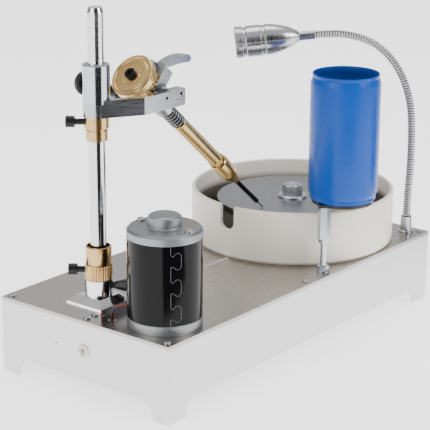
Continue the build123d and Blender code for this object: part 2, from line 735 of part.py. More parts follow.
with BuildPart() as quill_shaft:
    disc(quill, wheel_back, shaft_end, shaft_radius)
    disc(quill, wheel_back, -11.5, screw_hole_radius, mode=Mode.SUBTRACT)
save(quill_shaft, "quill_shaft")

trigger_half = 4.0
handle_half = 5.5
with BuildPart() as index_trigger:
    with BuildSketch(profile_side) as pawl:
        with BuildLine():
            Polyline((-22.4, 17.9), (-21.8, 22.4), (-11, 24.6), (-6.2, 27.4), (-5.0, 29.5), (-0.5, 29.5),
                     (-2.0, 26.0), (-3.2, 22.0), (-5.0, 18.4), (-10.5, 17.9), close=True)
        make_face()
    extrude(pawl.sketch, amount=trigger_half, both=True)
    with BuildSketch(profile_side) as tooth:
        with Locations((-20.6, 16.9)):
            Rectangle(3.0, 2.8)
    extrude(tooth.sketch, amount=notch_size / 2 - 0.3, both=True)
    with BuildSketch(profile_side) as trunnions:
        with Locations(trigger_pin):
            Circle(trigger_pin_radius)
    extrude(trunnions.sketch, amount=carriage_half - 0.3, both=True)
    with BuildSketch(profile_side) as handle:
        with BuildLine():
            lower_edge = ThreePointArc((-1.6, 27.8), (7.6, 37.2), (19.6, 47.0))
            upper_edge = ThreePointArc((15.2, 51.8), (3.2, 42.2), (-6.6, 27.8))
            Polyline(lower_edge @ 1, (19.4, 50.6), upper_edge @ 0)
            Line(upper_edge @ 1, lower_edge @ 0)
        make_face()
    extrude(handle.sketch, amount=handle_half, both=True)
save(index_trigger, "index_trigger")

sleeve_start = 48.6
sleeve_end = 115.5
nose_nut_end = 121.4
chuck_shoulder = 142.8
chuck_end = 158.2
dop_end = 201.5
spring_wire = 0.9
spring_mean = 6.3
spring_turns = 6.5
with BuildPart() as quill_spring:
    coil_start = housing_end + spring_wire + 0.1
    coil_height = sleeve_start - housing_end - 2 * spring_wire - 0.2
    with BuildLine() as coil:
        Helix(pitch=coil_height / spring_turns, height=coil_height, radius=spring_mean,
              center=quill.from_local_coords((0, 0, coil_start)), direction=along)
    with BuildSketch(Plane(origin=coil.line @ 0, z_dir=coil.line % 0)):
        Circle(spring_wire)
    sweep(path=coil.line, is_frenet=True)
save(quill_spring, "quill_spring")

sleeve_outer = 6.8
with BuildPart() as quill_handle:
    turned(quill, [(shaft_radius + run_gap, sleeve_start), (sleeve_outer - 0.4, sleeve_start),
                   (sleeve_outer, sleeve_start + 0.5), (sleeve_outer, sleeve_end), (0, sleeve_end),
                   (0, sleeve_end - 1.2), (shaft_radius + run_gap, sleeve_end - 1.2)])
save(quill_handle, "quill_handle")


dop_radius = 2.4
dop_start = 136.0
with BuildPart() as collet_chuck:
    hexagon(quill, sleeve_end, nose_nut_end - 0.9, 13.2)
    disc(quill, nose_nut_end - 0.9, nose_nut_end, 5.6)
    turned(quill, [(0, nose_nut_end), (7.6, nose_nut_end), (8.6, nose_nut_end + 1.2),
                   (8.6, chuck_shoulder - 6), (8.2, chuck_shoulder), (3.6, chuck_end - 0.6), (3.0, chuck_end),
                   (dop_radius + set_gap, chuck_end), (dop_radius + set_gap, dop_start), (0, dop_start)])
save(collet_chuck, "collet_chuck")

with BuildPart() as dop_stick:
    turned(quill, [(0, dop_start), (dop_radius, dop_start), (dop_radius, dop_end - 1.0), (1.5, dop_end),
                   (0.6, dop_end), (0.6, tip_length), (0, tip_length)])
save(dop_stick, "dop_stick")

# ================================================================ drip tank on its post
post = upright(post_place)
can = upright(can_place)
nut_top = 5.5
collar_foot = 28.3
collar_end = 32.3
holder_foot = 62.9
spigot_radius = 3.5
with BuildPart() as tank_post:
    disc(post, -12, collar_foot, stud_radius)
    turned(post, [(0, collar_foot), (4.0, collar_foot), (5.2, collar_foot + 0.6), (5.2, collar_end),
                  (0, collar_end)])
    hexagon(post, collar_end, holder_foot - 0.1, 10.6)
    disc(post, holder_foot - 0.1, can_base - 0.3, spigot_radius)
save(tank_post, "tank_post")


def stud_nut(plane, seat, direction):
    """Hexagon nut with its washer, from its seat up (direction 1) or down (-1)."""
    washer_end = seat + direction * 1.2
    disc(plane, seat, washer_end, 6.3, bore=stud_radius + set_gap)
    hexagon(plane, washer_end, seat + direction * nut_top, 10, bore=stud_radius + set_gap)


with BuildPart() as stud_nuts:
    stud_nut(post, 0, 1)
    stud_nut(post, -plate_thickness, -1)
    stud_nut(upright(lamp_place), -plate_thickness, -1)
save(stud_nuts, "stud_nuts")

holder_radius = 29.0
outlet_radius = 3.4
post_in_can = (post_place[0] - can_place[0], post_place[1] - can_place[1])
with BuildPart() as tank_holder:
    with BuildSketch(can.offset(holder_foot)) as holder:
        Circle(holder_radius)
        with Locations(post_in_can):
            Circle(6.4)
            Circle(spigot_radius + run_gap, mode=Mode.SUBTRACT)
        Circle(outlet_radius + 0.2, mode=Mode.SUBTRACT)
    extrude(holder.sketch, amount=can_base - holder_foot)
save(tank_holder, "tank_holder")

can_wall = 1.0
with BuildPart() as drip_tank:
    rim = can_radius - 1.6
    turned(can, [
        (outlet_radius + set_gap, can_base), (28.6, can_base), (30.4, can_base + 0.8),
        (31.0, can_base + 2.4), (30.6, can_base + 4.4), (31.2, can_base + 5.6),
        (can_radius, can_base + 8.6), (can_radius, can_top - 9), (can_radius - 0.5, can_top - 7.4),
        (31.0, can_top - 4.4), (30.5, can_top - 3.2), (31.0, can_top - 2.2), (31.2, can_top - 0.9),
        (rim, can_top), (rim - can_wall, can_top - 0.2), (29.4, can_top - 3.2),
        (can_radius - 1.6, can_top - 8), (can_radius - can_wall, can_top - 10),
        (can_radius - can_wall, can_base + 9), (29.6, can_base + 4.5), (29.2, can_base + 1.4),
        (28.0, can_base + can_wall), (outlet_radius + set_gap, can_base + can_wall)])
save(drip_tank, "drip_tank")

# outlet under the can, its pipe over the bowl's rim, and the tap over the lap
to_lap = Vector(1, 0, 0).get_angle(Vector(bowl_place[0] - can_place[0], bowl_place[1] - can_place[1], 0))
pipe_height = 59.0
tap_distance = 44.0
tap_radius = 6.0
tap_foot = 51.0
tap_top = 67.0
tap_place = (can_place[0] + tap_distance * cos(radians(to_lap)),
             can_place[1] + tap_distance * sin(radians(to_lap)))
tap = upright(tap_place)
pipe_axis = facing(can, pipe_height, to_lap)
plug_radius = 2.6
with BuildPart() as drip_tap:
    disc(can, 55.6, holder_foot, 5.2)
    disc(can, holder_foot, can_base + can_wall + 2.5, outlet_radius)
    disc(pipe_axis, 0, tap_distance, 2.2)
    disc(tap, tap_foot, tap_top, tap_radius)
    turned(tap, [(0, 45.5), (1.4, 45.5), (2.4, 48), (2.4, tap_foot), (0, tap_foot)])
    disc(can, holder_foot - 1, can_base + can_wall + 2.5, 1.6, mode=Mode.SUBTRACT)
    disc(tap, 56, tap_top, plug_radius + run_gap, mode=Mode.SUBTRACT)
save(drip_tap, "drip_tap")

lever_length = 17.0
with BuildPart() as tap_lever:
    disc(tap, 56.3, tap_top + 0.4, plug_radius)
    disc(tap, tap_top + 0.4, tap_top + 4.4, 4.6)
    lever_face = Plane(origin=tap.origin, x_dir=pipe_axis.z_dir, z_dir=(0, 0, 1)).offset(tap_top + 0.4)
    with BuildSketch(lever_face) as lever:
        with Locations((lever_length / 2, 0)):
            SlotOverall(lever_length + 6, 5)
    extrude(lever.sketch, amount=3)
save(tap_lever, "tap_lever")

# ================================================================ lamp
lamp_direction = 128.0          # the neck leans to the back left
lamp = upright(lamp_place)
lamp_out = Vector(cos(radians(lamp_direction)), sin(radians(lamp_direction)), 0)
lamp_side = Plane(origin=lamp.origin, x_dir=lamp_out, z_dir=lamp_out.cross(Vector(0, 0, 1)))
neck_radius = 4.0
neck_bore = 2.6
socket_top = 16.5
lower_neck_route = [(0.0, 15.0), (0.0, 34.0), (-1.9, 68.0), (-1.5, 110.5)]
upper_neck_route = [(-1.4, 113.0), (1.8, 138.0), (12.5, 166.5), (34.0, 191.0), (63.0, 201.4), (94.6, 201.2)]
head_start = (112.0, 198.6)     # where the lamp's shell begins, in the neck's plane
head_drop = 6.4                 # degrees that the lamp points below level
head_length = 63.0

with BuildPart() as lamp_socket:
    turned(lamp, [(0, 0), (7.4, 0), (7.4, 1.4), (5.6, 2.2), (5.3, socket_top),
                  (neck_radius + run_gap, socket_top), (neck_radius + run_gap, 14.4), (0, 14.4)])
    disc(lamp, -12, 0, stud_radius)
save(lamp_socket, "lamp_socket")

def bend_radii(route):
    """Fillet radii for a tube's route: as large as the runs beside each corner allow."""
    radii = []
    for before, corner, after in zip(route, route[1:], route[2:]):
        run_in = Vector(corner[0] - before[0], corner[1] - before[1], 0)
        run_out = Vector(after[0] - corner[0], after[1] - corner[1], 0)
        turn = radians(run_in.get_angle(run_out))
        radii.append(0.45 * min(run_in.length, run_out.length) / tan(turn / 2))
    return radii


def neck_tube(plane, route, outer, bore):
    """Hollow tube along straight runs joined by tangent arcs, in the given plane."""
    with BuildLine(plane) as centre:
        FilletPolyline(*route, radius=bend_radii(route))
    with BuildSketch(Plane(origin=centre.line @ 0, z_dir=centre.line % 0)) as section:
        Circle(outer)
        Circle(bore, mode=Mode.SUBTRACT)
    sweep(section.sketch, path=centre.line)
    return sum(edge.length for edge in centre.edges())


with BuildPart() as gooseneck_lower:
    lower_length = neck_tube(lamp_side, lower_neck_route, neck_radius, neck_bore)
save(gooseneck_lower, "gooseneck_lower")

with BuildPart() as gooseneck_upper:
    upper_length = neck_tube(lamp_side, upper_neck_route, neck_radius, neck_bore)
save(gooseneck_upper, "gooseneck_upper")

ferrule_end = lamp_side.from_local_coords(head_start + (0,))
head_out = lamp_out * cos(radians(head_drop)) - Vector(0, 0, sin(radians(head_drop)))
lamp_head = Plane(origin=ferrule_end, x_dir=lamp_side.z_dir, z_dir=head_out)
ferrule_radius = 4.5
ogive_end = 33.0
body_start = 37.0
body_end = 52.0
bezel_start = 55.5
head_radius = 15.4
barrel_bore = 12.6

with BuildPart() as lamp_shell:
    turned(lamp_head, [
        (neck_bore, -15), (ferrule_radius, -15), (ferrule_radius, 0.3), (5.5, 1.2), (7.4, 4), (9.8, 8.5),
        (12.1, 14.5), (14.0, 22), (15.1, 29), (head_radius, ogive_end), (14.6, ogive_end + 0.6),
        (14.6, body_start), (15.0, body_start), (head_radius, body_start + 0.5),
        (head_radius, body_end - 0.5), (15.0, body_end), (14.3, body_end + 0.2), (14.3, bezel_start),
        (barrel_bore, bezel_start), (barrel_bore, 30), (9.4, 14.5), (neck_bore, 4)])
save(lamp_shell, "lamp_shell")

bezel_teeth = 40
with BuildPart() as lamp_bezel:
    turned(lamp_head, [(barrel_bore, bezel_start), (head_radius - 0.2, bezel_start),
                       (head_radius + 0.1, bezel_start + 0.4), (head_radius + 0.1, head_length - 0.6),
                       (head_radius - 0.5, head_length), (13.4, head_length), (barrel_bore, head_length - 1.2)])
    with BuildSketch(lamp_head.offset(bezel_start)) as teeth:
        with PolarLocations(head_radius + 0.45, bezel_teeth):
            Rectangle(0.9, 0.9, rotation=45)
    extrude(teeth.sketch, amount=head_length - bezel_start, mode=Mode.SUBTRACT)
save(lamp_bezel, "lamp_bezel")

with BuildPart() as lamp_lens:
    turned(lamp_head, [(0, 60.4), (barrel_bore - 0.1, 60.4), (barrel_bore - 0.1, 61.4), (7, 62), (0, 62.2)])
save(lamp_lens, "lamp_lens")

with BuildPart() as led_module:
    turned(lamp_head, [(0, 44.6), (barrel_bore - 0.1, 44.6), (barrel_bore - 0.1, 60.2), (11.8, 60.2),
                       (3.4, 47.4), (2.4, 47.4), (2.4, 48.6), (0, 48.6)])
save(led_module, "led_module")

# ================================================================ motor leads
# each lead runs from inside the motor, down through the deck and round to its pin in the inlet
lead_start = 27.5
lead_reach = hypot(to_lead_hole.X, to_lead_hole.Y)
pin_end = inlet_x + barrel_length
lead_loop = 19.0                # how far past its pin a lead swings before it turns back
out_dir = to_lead_hole.normalized()
across_dir = Vector(out_dir.Y, -out_dir.X, 0)


def lead_route(side, pin_angle):
    """Centre line of a lead, on its side of the pair, to the pin at an angle on the inlet's circle."""
    pin_y = inlet_y + pin_circle * cos(radians(pin_angle))
    pin_z = deck + inlet_height - pin_circle * sin(radians(pin_angle))
    near = motor.origin + out_dir * lead_start + across_dir * (side * lead_spread)
    over = motor.origin + out_dir * lead_reach + across_dir * (side * lead_spread)
    return [
        (near.X, near.Y, deck + lead_height),
        (over.X, over.Y, deck + lead_height),
        (over.X, over.Y, pin_z),
        (pin_end + lead_loop - side, pin_y, pin_z),
        (pin_end + 0.02, pin_y, pin_z),
    ]


lead_bends = [9.0, 3.0, 4.0]
for lead_name, side, pin_angle in (("red_lead", 1, 210), ("black_lead", -1, 90)):
    with BuildPart() as lead:
        with BuildLine() as centre:
            FilletPolyline(*lead_route(side, pin_angle), radius=lead_bends)
        with BuildSketch(Plane(origin=centre.line @ 0, z_dir=centre.line % 0)) as section:
            Circle(lead_radius)
        sweep(section.sketch, path=centre.line)
    save(lead, lead_name)
    lead_length = sum(edge.length for edge in centre.edges())
    section_length = lead.part.volume / (3.14159265 * lead_radius ** 2)
    print(lead_name, "length", round(lead_length, 1), "volume / section", round(section_length, 1),
          "bends", lead_bends)

print("nodes", len(nodes), "neck lengths", round(lower_length, 1), round(upper_length, 1))
print("slope", round(degrees(slope), 2), "swing", round(degrees(swing), 2), "reach", round(tip_reach, 1))
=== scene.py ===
import json
from math import cos, pi, radians, sin, sqrt, tau

import bmesh
import bpy
from mathutils import Matrix, Vector


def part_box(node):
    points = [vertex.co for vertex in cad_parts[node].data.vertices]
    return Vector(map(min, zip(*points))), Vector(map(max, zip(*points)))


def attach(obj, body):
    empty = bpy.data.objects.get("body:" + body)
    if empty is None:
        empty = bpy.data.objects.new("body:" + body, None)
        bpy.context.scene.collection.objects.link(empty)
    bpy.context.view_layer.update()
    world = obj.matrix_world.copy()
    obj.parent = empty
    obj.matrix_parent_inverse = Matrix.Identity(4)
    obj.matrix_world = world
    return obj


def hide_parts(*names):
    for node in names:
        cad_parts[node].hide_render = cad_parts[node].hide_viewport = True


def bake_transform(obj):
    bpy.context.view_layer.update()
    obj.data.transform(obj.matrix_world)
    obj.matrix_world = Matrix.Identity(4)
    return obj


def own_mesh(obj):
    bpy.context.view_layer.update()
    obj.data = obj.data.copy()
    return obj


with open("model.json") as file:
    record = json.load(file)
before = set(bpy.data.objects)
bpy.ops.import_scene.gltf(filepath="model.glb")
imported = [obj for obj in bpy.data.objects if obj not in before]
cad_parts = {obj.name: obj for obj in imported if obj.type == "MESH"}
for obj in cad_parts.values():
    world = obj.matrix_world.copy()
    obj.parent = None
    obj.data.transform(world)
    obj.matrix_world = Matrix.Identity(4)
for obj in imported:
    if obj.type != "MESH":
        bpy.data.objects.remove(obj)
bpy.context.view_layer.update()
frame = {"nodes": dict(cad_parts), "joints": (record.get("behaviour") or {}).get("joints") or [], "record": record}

MM = 0.001
scene = bpy.context.scene
joints = {joint["name"]: joint for joint in frame["joints"]}
groups = frame["record"]["behaviour"]["bodies"]
body_of = {node: body for body, nodes in groups.items() for node in nodes}


def middle(node):
    """Centre of a node's box at rest."""
    low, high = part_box(node)
    return (low + high) / 2


def over(node, height=0.0):
    """Point on the vertical axis of a round node, at a height above the floor."""
    centre = middle(node)
    return Vector((centre.x, centre.y, height))


UP = Vector((0, 0, 1))
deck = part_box("top_plate")[1].z
mast = over("mast_rod")
motor = over("motor_shell")
bowl = over("splash_bowl")
lamp_foot = over("lamp_socket", deck)
pivot = Vector(joints["index_turn"]["pos_m"])
quill = Vector(joints["index_turn"]["axis"]).normalized()
crossways = Vector(joints["trigger_pull"]["axis"]).normalized()
lamp_normal = Vector(joints["neck_bend"]["axis"]).normalized()
lamp_out = UP.cross(lamp_normal).normalized()


# ---------------------------------------------------------------- camera, floor and light
# directions in radians, lens in millimetres, place in metres from the left front corner of the base
CAMERA_YAW = 0.667
CAMERA_PITCH = 0.299
CAMERA_ROLL = -0.008
CAMERA_LENS = 135.25
CAMERA_FROM_CORNER = Vector((-0.94869, -0.79472, 0.56663))


def camera():
    """The camera stands to the left of the front, a little above the machine."""
    data = bpy.data.cameras.new("camera")
    data.sensor_width = 36
    data.lens = CAMERA_LENS
    data.clip_start = 0.05
    data.clip_end = 50
    obj = bpy.data.objects.new("camera", data)
    scene.collection.objects.link(obj)
    heading = Vector((cos(CAMERA_YAW), sin(CAMERA_YAW), 0))
    forward = Vector((heading.x * cos(CAMERA_PITCH), heading.y * cos(CAMERA_PITCH), -sin(CAMERA_PITCH)))
    level = Vector((heading.y, -heading.x, 0))
    right = Matrix.Rotation(CAMERA_ROLL, 3, forward) @ level
    upward = right.cross(forward)
    turn = Matrix((right, upward, -forward)).transposed()
    corner = Vector((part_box("left_end_panel")[0].x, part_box("front_panel")[0].y, 0))
    obj.matrix_world = Matrix.Translation(corner + CAMERA_FROM_CORNER) @ turn.to_4x4()
    bpy.context.scene.camera = obj


camera()


def node(tree, kind, **values):
    """New shader node with its sockets and properties set."""
    made = tree.nodes.new(kind)
    for key, value in values.items():
        if key in made.inputs:
            made.inputs[key].default_value = value
        else:
            setattr(made, key, value)
    return made


def area_light(name, place, target, size, power):
    """White soft box in metres and watts, turned towards its target."""
    data = bpy.data.lights.new(name, "AREA")
    data.shape = "RECTANGLE"
    data.size, data.size_y = size
    data.energy = power
    obj = bpy.data.objects.new(name, data)
    scene.collection.objects.link(obj)
    obj.location = place
    obj.rotation_mode = "QUATERNION"
    obj.rotation_quaternion = (Vector(target) - Vector(place)).to_track_quat("-Z", "Y")


# brightness of the studio round the horizon, by direction in degrees from +X towards +Y
HORIZON = [
    (-180, 1.2), (-158, 1.3), (-151, 0.03), (-101, 0.02), (-94, 1.1), (-58, 1.1), (-48, 0.14), (-18, 0.16),
    (-8, 0.8), (70, 0.8), (85, 0.35), (125, 0.35), (140, 1.1), (179.9, 1.2),
]
# dark cards that lie on the floor, hidden from the camera: name, first and last direction, tone
CARDS = [("front_card", -151, -101, 0.012), ("side_card", -48, -20, 0.05)]
CARD_NEAR = 0.42
CARD_FAR = 3.2
CARD_HEIGHT = 0.002
CARD_STEPS = 12
FLOOR_HALF = 6
FLOOR_GLOW = 1.6
SKY_BRIGHTNESS = 0.75
# soft boxes: name, place, size, power
LIGHTS = [
    ("key", (0.4, -1.9, 1.5), (1.0, 1.0), 26),
    ("fill", (-2.1, 0.3, 1.3), (1.0, 1.2), 15),
    ("top", (0.3, 0.5, 2.1), (1.4, 1.0), 16),
]
LIGHT_AIM = (0, 0, 0.1)


def matt(name, tone, roughness, specular):
    """Plain grey material for the floor and the cards; returns it with its shader."""
    made = bpy.data.materials.new(name)
    made.use_nodes = True
    shader = made.node_tree.nodes["Principled BSDF"]
    shader.inputs["Base Color"].default_value = (tone, tone, tone, 1)
    shader.inputs["Roughness"].default_value = roughness
    shader.inputs["Specular IOR Level"].default_value = specular
    return made, shader


def dark_card(name, first, last, tone):
    """Flat card in a sector round the machine, seen only in reflections."""
    bm = bmesh.new()
    rows = []
    for i in range(CARD_STEPS + 1):
        angle = radians(first + (last - first) * i / CARD_STEPS)
        rows.append([
            bm.verts.new((cos(angle) * reach, sin(angle) * reach, CARD_HEIGHT))
            for reach in (CARD_NEAR, CARD_FAR)
        ])
    for row, following in zip(rows, rows[1:]):
        bm.faces.new((row[0], row[1], following[1], following[0]))
    mesh = bpy.data.meshes.new(name)
    bm.to_mesh(mesh)
    bm.free()
    card = bpy.data.objects.new(name, mesh)
    scene.collection.objects.link(card)
    card.visible_camera = False
    card.visible_shadow = False
    card.visible_diffuse = False
    mesh.materials.append(matt(name, tone, 0.9, 0.0)[0])


def glowing_floor():
    """Wide white floor that also gives off light, which keeps it pale."""
    bm = bmesh.new()
    bmesh.ops.create_grid(bm, x_segments=1, y_segments=1, size=FLOOR_HALF)
    mesh = bpy.data.meshes.new("floor")
    bm.to_mesh(mesh)
    bm.free()
    floor = bpy.data.objects.new("floor", mesh)
    scene.collection.objects.link(floor)
    white, shader = matt("floor_white", 0.9, 0.9, 0.1)
    shader.inputs["Emission Color"].default_value = (1, 1, 1, 1)
    shader.inputs["Emission Strength"].default_value = FLOOR_GLOW
    mesh.materials.append(white)


def banded_world():
    """World with bright and dark bands round the horizon, and an even sky above them."""
    world = bpy.data.worlds.new("studio")
    scene.world = world
    world.use_nodes = True
    tree = world.node_tree
    background = tree.nodes["Background"]
    coords = node(tree, "ShaderNodeTexCoord")
    split = node(tree, "ShaderNodeSeparateXYZ")
    tree.links.new(coords.outputs["Generated"], split.inputs[0])
    # the bands give the polished metal something to mirror
    angle = node(tree, "ShaderNodeMath", operation="ARCTAN2")
    tree.links.new(split.outputs["Y"], angle.inputs[0])
    tree.links.new(split.outputs["X"], angle.inputs[1])
    share = node(tree, "ShaderNodeMapRange")
    share.inputs["From Min"].default_value = -pi
    share.inputs["From Max"].default_value = pi
    tree.links.new(angle.outputs[0], share.inputs["Value"])
    bands = node(tree, "ShaderNodeValToRGB")
    ramp = bands.color_ramp
    ramp.interpolation = "EASE"
    while len(ramp.elements) > 1:
        ramp.elements.remove(ramp.elements[-1])
    for i, (degrees_round, brightness) in enumerate(HORIZON):
        place = ((degrees_round + 180) % 360) / 360
        element = ramp.elements[0] if i == 0 else ramp.elements.new(place)
        element.position = place
        element.color = (brightness, brightness, brightness, 1)
    tree.links.new(share.outputs["Result"], bands.inputs["Fac"])
    sky = node(tree, "ShaderNodeMapRange")
    sky.inputs["From Min"].default_value = 0.5
    sky.inputs["From Max"].default_value = 0.85
    tree.links.new(split.outputs["Z"], sky.inputs["Value"])
    mix = node(tree, "ShaderNodeMix", data_type="FLOAT")
    tree.links.new(sky.outputs[0], mix.inputs["Factor"])
    tree.links.new(bands.outputs["Color"], mix.inputs["A"])
    mix.inputs["B"].default_value = SKY_BRIGHTNESS
    tree.links.new(mix.outputs["Result"], background.inputs["Strength"])
    background.inputs["Color"].default_value = (1, 1, 1, 1)


def studio():
    """Floor, world, soft boxes and dark cards."""
    glowing_floor()
    banded_world()
    for name, place, size, power in LIGHTS:
        area_light(name, place, LIGHT_AIM, size, power)
    for name, first, last, tone in CARDS:
        dark_card(name, first, last, tone)


studio()


# ---------------------------------------------------------------- materials
# the middle stretch of a noise texture's values, which its grain uses
NOISE_LOW = 0.3
NOISE_HIGH = 0.7
GRAIN_HEIGHT = 0.0002
# inside radius of the bowl, in millimetres, and how the painted shade under the lap fades round the lap's level
BOWL_INNER_RADIUS = 96.6
UNDER_LAP_SHADE_EDGE = 0.6
UNDER_LAP_SHADE_START = 3
UNDER_LAP_SHADE_FULL = -5


def start_material(name, colour, metallic, roughness, **extra):
    """Principled material; returns it with its tree and shader."""
    made = bpy.data.materials.new(name)
    made.use_nodes = True
    tree = made.node_tree
    shader = tree.nodes["Principled BSDF"]
    shader.inputs["Base Color"].default_value = (*colour, 1)
    shader.inputs["Metallic"].default_value = metallic
    shader.inputs["Roughness"].default_value = roughness
    for key, value in extra.items():
        shader.inputs[key.replace("_", " ")].default_value = value
    return made, tree, shader


def stretched(tree, scale):
    """Object coordinates, in metres, scaled along each axis."""
    coords = node(tree, "ShaderNodeTexCoord")
    mapping = node(tree, "ShaderNodeMapping", Scale=scale)
    tree.links.new(coords.outputs["Object"], mapping.inputs["Vector"])
    return mapping.outputs["Vector"]


def ring_coords(tree, origin, axis, around, along):
    """Coordinates that change with the distance from an axis and along it, and not round it."""
    coords = node(tree, "ShaderNodeTexCoord")
    moved = node(tree, "ShaderNodeVectorMath", operation="SUBTRACT")
    tree.links.new(coords.outputs["Object"], moved.inputs[0])
    moved.inputs[1].default_value = tuple(origin)
    height = node(tree, "ShaderNodeVectorMath", operation="DOT_PRODUCT")
    tree.links.new(moved.outputs["Vector"], height.inputs[0])
    height.inputs[1].default_value = tuple(axis)
    lifted = node(tree, "ShaderNodeVectorMath", operation="SCALE")
    lifted.inputs[0].default_value = tuple(axis)
    tree.links.new(height.outputs["Value"], lifted.inputs["Scale"])
    flat = node(tree, "ShaderNodeVectorMath", operation="SUBTRACT")
    tree.links.new(moved.outputs["Vector"], flat.inputs[0])
    tree.links.new(lifted.outputs["Vector"], flat.inputs[1])
    radius = node(tree, "ShaderNodeVectorMath", operation="LENGTH")
    tree.links.new(flat.outputs["Vector"], radius.inputs[0])
    pair = node(tree, "ShaderNodeCombineXYZ")
    for source, name, scale in ((radius, "X", around), (height, "Y", along)):
        scaled = node(tree, "ShaderNodeMath", operation="MULTIPLY")
        tree.links.new(source.outputs["Value"], scaled.inputs[0])
        scaled.inputs[1].default_value = scale
        tree.links.new(scaled.outputs[0], pair.inputs[name])
    return pair.outputs["Vector"]


def finish_grain(tree, shader, vector, roughness, spread, bump, detail=4.0, tint=None):
    """Noise in roughness and bump, and in colour when tint gives the second colour."""
    noise = node(tree, "ShaderNodeTexNoise", Scale=1.0, Detail=detail, Roughness=0.6)
    tree.links.new(vector, noise.inputs["Vector"])
    spread_range = node(tree, "ShaderNodeMapRange")
    spread_range.inputs["From Min"].default_value = NOISE_LOW
    spread_range.inputs["From Max"].default_value = NOISE_HIGH
    spread_range.inputs["To Min"].default_value = roughness - spread
    spread_range.inputs["To Max"].default_value = roughness + spread
    tree.links.new(noise.outputs["Fac"], spread_range.inputs["Value"])
    tree.links.new(spread_range.outputs["Result"], shader.inputs["Roughness"])
    if bump > 0:
        relief = node(tree, "ShaderNodeBump", Strength=bump, Distance=GRAIN_HEIGHT)
        tree.links.new(noise.outputs["Fac"], relief.inputs["Height"])
        tree.links.new(relief.outputs["Normal"], shader.inputs["Normal"])
    if tint is not None:
        base = shader.inputs["Base Color"].default_value[:]
        blend = node(tree, "ShaderNodeMix", data_type="RGBA")
        blend.inputs["A"].default_value = base
        blend.inputs["B"].default_value = (*tint, 1)
        tree.links.new(noise.outputs["Fac"], blend.inputs["Factor"])
        tree.links.new(blend.outputs["Result"], shader.inputs["Base Color"])


def brushed(name, colour, roughness, scale, spread=0.08, bump=0.15, tint=None, metallic=1.0, **extra):
    """Metal with straight brush marks; scale is small along the marks."""
    made, tree, shader = start_material(name, colour, metallic, roughness, **extra)
    finish_grain(tree, shader, stretched(tree, scale), roughness, spread, bump, tint=tint)
    return made


def turned(name, colour, roughness, origin, axis, spread=0.08, bump=0.25, tint=None, pitch=2600, **extra):
    """Metal turned on a lathe: fine rings round its axis."""
    made, tree, shader = start_material(name, colour, 1.0, roughness, **extra)
    vector = ring_coords(tree, origin, axis, pitch, pitch)
    finish_grain(tree, shader, vector, roughness, spread, bump, detail=2.0, tint=tint)
    return made


def moulded(name, colour, roughness, scale=900, spread=0.06, bump=0.1, tint=None, **extra):
    """Plastic, paint or cast metal with an even fine grain."""
    metallic = extra.pop("metallic", 0.0)
    made, tree, shader = start_material(name, colour, metallic, roughness, **extra)
    finish_grain(tree, shader, stretched(tree, (scale,) * 3), roughness, spread, bump, tint=tint)
    return made


def under_lap_shaded_plastic():
    """Cream plastic of the bowl, with painted shade inside it below the lap."""
    made, tree, shader = start_material("bowl_plastic", (0.92, 0.86, 0.77), 0.0, 0.42)
    finish_grain(tree, shader, stretched(tree, (700,) * 3), 0.42, 0.06, 0.05, tint=(0.89, 0.82, 0.72))
    unshaded = shader.inputs["Base Color"].links[0].from_socket
    where = node(tree, "ShaderNodeSeparateXYZ")
    tree.links.new(ring_coords(tree, bowl, UP, 1 / MM, 1 / MM), where.inputs[0])
    lap_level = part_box("lap_disc")[0].z / MM
    inside = node(tree, "ShaderNodeMapRange")
    inside.inputs["From Min"].default_value = BOWL_INNER_RADIUS + UNDER_LAP_SHADE_EDGE
    inside.inputs["From Max"].default_value = BOWL_INNER_RADIUS
    tree.links.new(where.outputs["X"], inside.inputs["Value"])
    low = node(tree, "ShaderNodeMapRange")
    low.inputs["From Min"].default_value = lap_level + UNDER_LAP_SHADE_START
    low.inputs["From Max"].default_value = lap_level + UNDER_LAP_SHADE_FULL
    tree.links.new(where.outputs["Y"], low.inputs["Value"])
    both = node(tree, "ShaderNodeMath", operation="MULTIPLY")
    tree.links.new(inside.outputs["Result"], both.inputs[0])
    tree.links.new(low.outputs["Result"], both.inputs[1])
    # painted shade: the bowl's inside below the lap turns dark grey-brown
    blend = node(tree, "ShaderNodeMix", data_type="RGBA")
    blend.inputs["B"].default_value = (0.12, 0.105, 0.09, 1)
    tree.links.new(both.outputs[0], blend.inputs["Factor"])
    tree.links.new(unshaded, blend.inputs["A"])
    tree.links.new(blend.outputs["Result"], shader.inputs["Base Color"])
    return made


BRASS = (0.66, 0.44, 0.19)
BRASS_LIGHT = (0.86, 0.60, 0.27)
HANDLE_BRASS = (0.56, 0.36, 0.11)
ZINC = (0.50, 0.54, 0.60)

